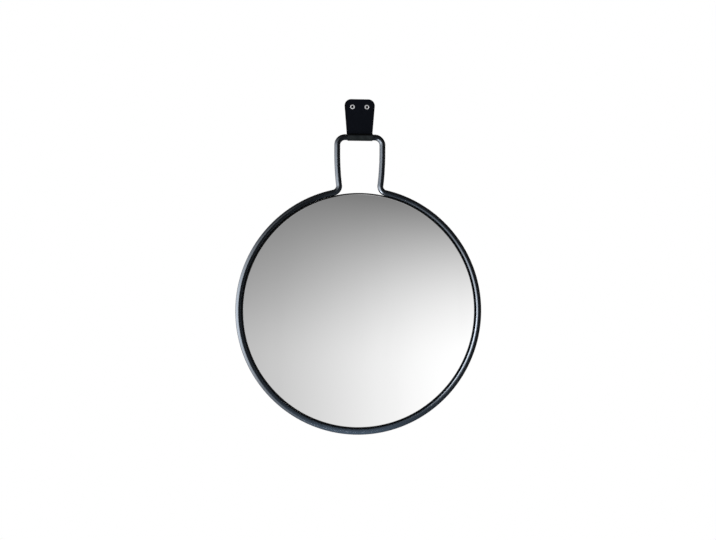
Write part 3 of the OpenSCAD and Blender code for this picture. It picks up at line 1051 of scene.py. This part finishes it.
# A bell curve over the height, with soft front and back ends, and a lobe in front.
def nearLeftGlow(tree, x, y, z):
    n = nearLeft
    front = ramp(tree, y, n["front"] * mm, (n["front"] + n["frontFade"]) * mm)
    back = ramp(tree, y, n["back"] * mm, (n["back"] - n["backFade"]) * mm)
    main = product(tree, bell(tree, z, ringZ + n["middle"], n["spread"]), n["level"], front, back)
    lobe = product(tree, bell(tree, z, ringZ + n["lobeUp"], n["lobeTall"]), n["lobe"])
    return calc(tree, "MULTIPLY_ADD", lobe, bell(tree, y, n["lobeFront"], n["lobeWide"]), main)


def nearLeftPoints():
    n = nearLeft
    share = np.linspace(0, 1, 21)
    y, z = np.meshgrid(n["front"] + share * (n["back"] - n["front"]), ringZ + n["half"] * (2 * share - 1))
    return placed(n["x"], -y, z)


studio = {
    "floorDrop": 1250, "floorRadius": 6000, "floorWhite": (700, 2600),
    "floorTone": (0.80, 0.80, 0.80), "around": 0.1,
    # The wall holes' dark tone is painted shade.
    "wallHole": 3.1, "wallHoleDeep": 0.6, "holeShadeTone": (0.01, 0.01, 0.012),
}


# A pale floor that melts into the white surroundings. Only the camera sees it.
def makeFloor():
    z = ringZ - studio["floorDrop"]
    angle, r = circle(128), studio["floorRadius"]
    points = placed(r * np.cos(angle), -r * np.sin(angle), z)
    floor = meshObject("floor", points, [list(range(len(angle)))])
    material, tree, shader = newMaterial("paleFloor")
    place = addNode(tree, "ShaderNodeVectorMath", {0: objectCoordinates(tree)}, operation="LENGTH")
    span = [(studio["floorDrop"] + r) * mm for r in studio["floorWhite"]]
    pale = ramp(tree, place.outputs["Value"], *span)
    tone = mixColour(tree, pale, studio["floorTone"], (1.0, 1.0, 1.0))
    feed(tree, shader, {"Base Color": (0, 0, 0), "Specular IOR Level": 0, "Emission Color": tone,
                        "Emission Strength": 1})
    floor.data.materials.append(material)
    floor.visible_diffuse = False
    floor.visible_glossy = False


# Painted shade for a wall's drilled holes: a dark disc behind each eyelet stands for the shade inside the
# hole, clear when seen from behind.
def makeWallHoleShade():
    count, r = 48, studio["wallHole"]
    disc = placed(r * np.cos(circle(count)), -studio["wallHoleDeep"], r * np.sin(circle(count)))
    away = np.array([strap["pitch"] / 2, 0, 0])
    faces = [list(range(count)), list(range(count, 2 * count))]
    holes = meshObject("wallHoleShade", np.vstack([disc - away, disc + away]), faces)
    material, tree, shader = newMaterial("paintedHoleShade")
    front = calc(tree, "SUBTRACT", 1.0, addNode(tree, "ShaderNodeNewGeometry").outputs["Backfacing"])
    feed(tree, shader, {"Base Color": studio["holeShadeTone"], "Roughness": 0.9, "Alpha": front})
    holes.data.materials.append(material)


def areaLight(name, place, target, size, level):
    light = bpy.data.lights.new(name, "AREA")
    light.shape = "RECTANGLE"
    light.size, light.size_y = size[0] * mm, size[1] * mm
    light.energy = level * math.pi * light.size * light.size_y
    lamp = newObject(name, light)
    lamp.location = Vector(place) * mm
    way = (Vector(target) - Vector(place)).normalized()
    lamp.rotation_euler = way.to_track_quat("-Z", "Y").to_euler()
    lamp.visible_camera = False
    return lamp


# White for the camera and dim for everything else.
def makeWorld():
    world = bpy.data.worlds.new("studio")
    bpy.context.scene.world = world
    world.use_nodes = True
    tree = world.node_tree
    tree.nodes.clear()
    white = {"Color": (1, 1, 1)}
    around = addNode(tree, "ShaderNodeBackground", {**white, "Strength": studio["around"]})
    seen = addNode(tree, "ShaderNodeBackground", white)
    straight = addNode(tree, "ShaderNodeLightPath").outputs["Is Camera Ray"]
    shades = {"Fac": straight, 1: around.outputs["Background"], 2: seen.outputs["Background"]}
    mix = addNode(tree, "ShaderNodeMixShader", shades)
    addNode(tree, "ShaderNodeOutputWorld", {"Surface": mix.outputs["Shader"]})


# Each lamp's place, what it points at, its width and height, and its radiance. Heights count from the
# ring's centre.
lamps = {
    "softboxLeft": ((-1500, -900, 350), (0, -10, 60), (1500, 1900), 0.8),
    "backFill": ((700, 1900, 900), (0, -10, 60), (1600, 1200), 3.0),
    "backFillLeft": ((-1500, 1500, 200), (0, -10, 60), (900, 1600), 1.2),
    "eyeletGlow": ((-250, -700, 160 - ringZ), (0, 0, -ringZ), (500, 300), 1.5),
    "lowGlow": ((-50, -165, -335), (-15, 0, -220), (160, 90), 60.0),
    "lowGlowNear": ((0, -110, -225), (0, 0, -219), (90, 40), 26.0),
    "mirrorReturn": ((-90, -120, 57.5), (110, -120, 57.5), (220, 115), 22.0),
}


# The low lamps and the card that stands for what the mirror throws back light the rod alone.
def makeLamps():
    made = {}
    for name, (place, target, size, level) in lamps.items():
        start, end = ((x, y, ringZ + up) for x, y, up in (place, target))
        made[name] = areaLight(name, start, end, size, level)
    lightAllBut(made["softboxLeft"], [mirrorPlate, rod])
    lightOnly(made["eyeletGlow"], eyelets)
    for name in ("lowGlow", "lowGlowNear", "mirrorReturn"):
        made[name].data.color = softLeft["tint"]
        made[name].visible_glossy = name == "mirrorReturn"
        lightOnly(made[name], [rod])


makeFloor()
glowSheet("mirrorSky", domePoints(sky["radius"], (-180, 180)), skyGlow, [mirrorPlate, *eyelets])
glowSheet("softLeftSky", domePoints(softLeft["radius"], (0, 178)), softLeftGlow, [rod], softLeft["tint"])
glowSheet("nearLeftSky", nearLeftPoints(), nearLeftGlow, [rod], softLeft["tint"])
makeWallHoleShade()
makeWorld()
makeLamps()
bpy.context.scene.view_settings.view_transform = "Standard"
print("studio set up")
